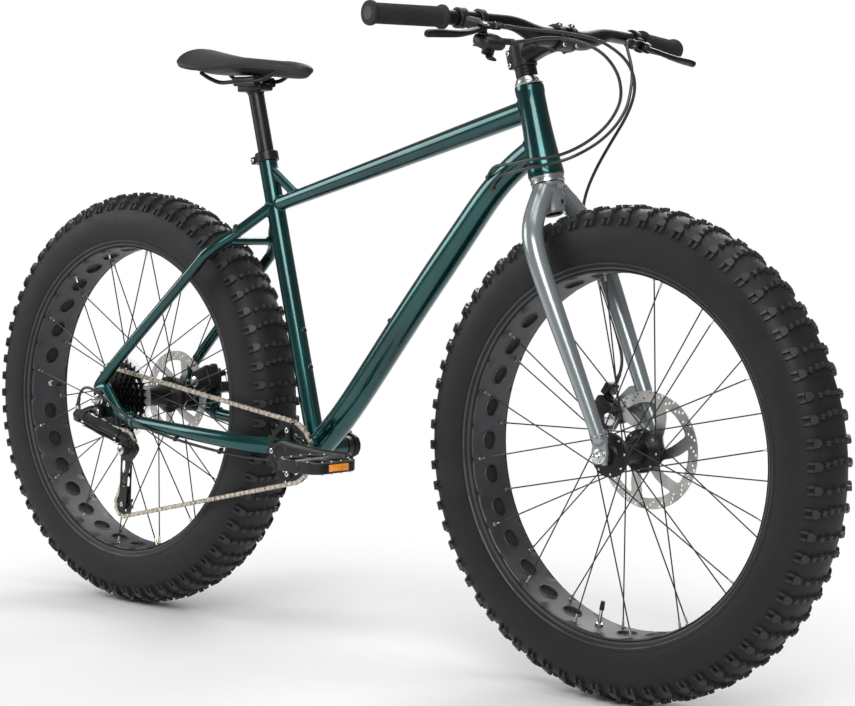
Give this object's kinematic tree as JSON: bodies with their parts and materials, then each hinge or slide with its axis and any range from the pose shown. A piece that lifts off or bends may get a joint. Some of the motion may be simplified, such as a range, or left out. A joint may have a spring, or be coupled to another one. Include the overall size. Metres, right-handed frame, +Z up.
{
  "type": "fat tire bicycle",
  "caption": "Hardtail fat tire bicycle with spoked wheels, disc brakes, a single chainring with rear derailleur gears, a rigid fork and a flat bar.",
  "frame": {"origin": "middle of the bounding box's bottom, on the ground between the two tyres", "axes": "+X forward, +Y to the rider's left, +Z up"},
  "size_m": [1.845, 0.7628, 1.0317],
  "materials": {
    "black_metal": "satin",
    "black_plastic": "matte",
    "cable_cover": "gloss",
    "chain_steel": "oiled",
    "clear_plastic": "clear",
    "dark_metal": "dark anodised",
    "disc_steel": "ground",
    "fork_grey": "satin metallic",
    "frame_green": "gloss metallic",
    "grip_rubber": "matte",
    "rubber": "matte",
    "saddle_cover": "smooth cover",
    "silver_metal": "polished"
  },
  "bodies": {
    "frame_body": {"frame": "frame_green", "seat_collar": "black_metal", "headset_lower_cup": "silver_metal", "bottom_bracket": "dark_metal", "derailleur_hanger": "black_metal", "derailleur_knuckle_upper": "black_plastic", "rear_caliper": "black_metal", "rear_axle": "black_metal", "shift_housing": "cable_cover", "shift_housing_rear": "cable_cover", "rear_brake_housing": "cable_cover", "rear_brake_housing_rear": "cable_cover", "chain": "chain_steel"},
    "seat": {"seatpost": "black_metal", "saddle_clamp": "black_metal", "saddle_rails": "dark_metal", "saddle": "saddle_cover"},
    "steering": {"fork": "fork_grey", "headset_cone": "silver_metal", "spacers": "black_metal", "top_cap": "black_metal", "stem": "black_metal", "stem_faceplate": "black_metal", "handlebar": "black_metal", "grip_left": "grip_rubber", "grip_right": "grip_rubber", "lever_clamp_left": "black_plastic", "lever_clamp_right": "black_plastic", "shifter_body": "black_plastic", "front_caliper": "black_metal", "front_axle": "black_metal", "front_brake_housing": "cable_cover"},
    "front_wheel": {"tyre_front": "rubber", "rim_front": "dark_metal", "hub_front": "black_metal", "rotor_front": "disc_steel"},
    "rear_wheel": {"tyre_rear": "rubber", "rim_rear": "dark_metal", "hub_rear": "black_metal", "rotor_rear": "disc_steel", "spoke_protector": "clear_plastic"},
    "cassette_body": {"cassette": "dark_metal"},
    "crankset": {"crank_right": "dark_metal", "crank_left": "dark_metal", "chainring": "black_metal", "crank_spindle": "silver_metal"},
    "right_pedal": {"pedal_right": "black_plastic"},
    "left_pedal": {"pedal_left": "black_plastic"},
    "right_blade": {"brake_blade_right": "black_metal"},
    "left_blade": {"brake_blade_left": "black_metal"},
    "thumb_lever": {"shift_thumb_lever": "black_plastic"},
    "release_lever": {"shift_release_lever": "black_plastic"},
    "front_arm": {"front_caliper_arm": "silver_metal"},
    "rear_arm": {"rear_caliper_arm": "silver_metal"},
    "link_outer": {"outer_link": "dark_metal"},
    "link_inner": {"inner_link": "dark_metal"},
    "lower_knuckle": {"knuckle_lower": "black_plastic"},
    "cage_body": {"cage": "dark_metal"},
    "guide_wheel": {"guide_pulley": "black_plastic"},
    "tension_wheel": {"tension_pulley": "black_plastic"}
  },
  "joints": [
    {"name": "steer", "type": "hinge", "parent": "frame_body", "child": "steering", "pos_m": [0.37928, 0, 0.7867], "axis": [-0.2689, 0, 0.9632], "range_deg": [-70, 70], "deforming": ["shift_housing", "rear_brake_housing"]},
    {"name": "front_wheel_spin", "type": "hinge", "parent": "steering", "child": "front_wheel", "pos_m": [0.5485, 0, 0.374], "axis": [0, 1, 0], "continuous": true},
    {"name": "rear_wheel_spin", "type": "hinge", "parent": "frame_body", "child": "rear_wheel", "pos_m": [-0.5485, 0, 0.374], "axis": [0, 1, 0], "continuous": true},
    {"name": "crank_spin", "type": "hinge", "parent": "frame_body", "child": "crankset", "pos_m": [-0.10288, 0, 0.319], "axis": [0, 1, 0], "continuous": true, "deforming": ["chain"]},
    {"name": "cassette_spin", "type": "hinge", "parent": "frame_body", "child": "cassette_body", "pos_m": [-0.5485, 0, 0.374], "axis": [0, 1, 0], "continuous": true},
    {"name": "right_pedal_spin", "type": "hinge", "parent": "crankset", "child": "right_pedal", "pos_m": [0.06704, 0, 0.32404], "axis": [0, 1, 0], "continuous": true},
    {"name": "left_pedal_spin", "type": "hinge", "parent": "crankset", "child": "left_pedal", "pos_m": [-0.27281, 0, 0.31396], "axis": [0, 1, 0], "continuous": true},
    {"name": "seat_height", "type": "slide", "parent": "frame_body", "child": "seat", "axis": [-0.2672, 0, 0.9636], "range_m": [-0.1, 0.06]},
    {"name": "front_brake_pull", "type": "hinge", "parent": "steering", "child": "right_blade", "pos_m": [0.41577, -0.20309, 0.99911], "axis": [-0.4226, 0.1079, -0.8999], "range_deg": [0, 20], "stiffness_Nm_per_rad": 0.6, "springref_deg": -20.05},
    {"name": "rear_brake_pull", "type": "hinge", "parent": "steering", "child": "left_blade", "pos_m": [0.41577, 0.20309, 0.99911], "axis": [0.4226, 0.1079, 0.8999], "range_deg": [0, 20], "stiffness_Nm_per_rad": 0.6, "springref_deg": -20.05},
    {"name": "front_caliper_pull", "type": "hinge", "parent": "steering", "child": "front_arm", "pos_m": [0.48215, 0.0745, 0.41595], "axis": [0, 1, 0], "range_deg": [0, 15]},
    {"name": "rear_caliper_pull", "type": "hinge", "parent": "frame_body", "child": "rear_arm", "pos_m": [-0.48592, 0.103, 0.40186], "axis": [0, 1, 0], "range_deg": [0, 15]},
    {"name": "thumb_shift", "type": "hinge", "parent": "steering", "child": "thumb_lever", "pos_m": [0.40944, -0.179, 0.98071], "axis": [-0.3297, 0.0641, -0.9419], "range_deg": [0, 25], "stiffness_Nm_per_rad": 0.25, "springref_deg": -17.19},
    {"name": "release_shift", "type": "hinge", "parent": "steering", "child": "release_lever", "pos_m": [0.40944, -0.179, 0.98071], "axis": [-0.3297, 0.0641, -0.9419], "range_deg": [0, 20], "stiffness_Nm_per_rad": 0.25, "springref_deg": -17.19},
    {"name": "derailleur_shift", "type": "hinge", "parent": "frame_body", "child": "link_outer", "pos_m": [-0.55044, -0.13165, 0.34365], "axis": [0, 0.7071, 0.7071], "range_deg": [-20, 13]},
    {"name": "inner_link_turn", "type": "hinge", "parent": "frame_body", "child": "link_inner", "pos_m": [-0.55956, -0.12235, 0.33435], "axis": [0, 0.7071, 0.7071], "range_deg": [-20, 13]},
    {"name": "knuckle_turn", "type": "hinge", "parent": "link_outer", "child": "lower_knuckle", "pos_m": [-0.49544, -0.10465, 0.31665], "axis": [0, 0.7071, 0.7071], "range_deg": [-13, 20]},
    {"name": "cage_swing", "type": "hinge", "parent": "lower_knuckle", "child": "cage_body", "pos_m": [-0.488, -0.0632, 0.289], "axis": [0, -1, 0], "range_deg": [-20, 13]},
    {"name": "guide_pulley_spin", "type": "hinge", "parent": "cage_body", "child": "guide_wheel", "pos_m": [-0.5185, -0.0632, 0.29651], "axis": [0, 1, 0], "continuous": true},
    {"name": "tension_pulley_spin", "type": "hinge", "parent": "cage_body", "child": "tension_wheel", "pos_m": [-0.521, -0.0632, 0.186], "axis": [0, 1, 0], "continuous": true}
  ],
  "couplings": [
    {"joint": "cassette_spin", "follows": "crank_spin", "ratio": 1},
    {"joint": "guide_pulley_spin", "follows": "crank_spin", "ratio": -2.3636},
    {"joint": "tension_pulley_spin", "follows": "crank_spin", "ratio": 2.3636},
    {"joint": "front_caliper_pull", "follows": "front_brake_pull", "ratio": 0.75},
    {"joint": "rear_caliper_pull", "follows": "rear_brake_pull", "ratio": 0.75},
    {"joint": "inner_link_turn", "follows": "derailleur_shift", "ratio": 1},
    {"joint": "knuckle_turn", "follows": "derailleur_shift", "ratio": -1},
    {"joint": "cage_swing", "follows": "derailleur_shift", "ratio": 1}
  ]
}
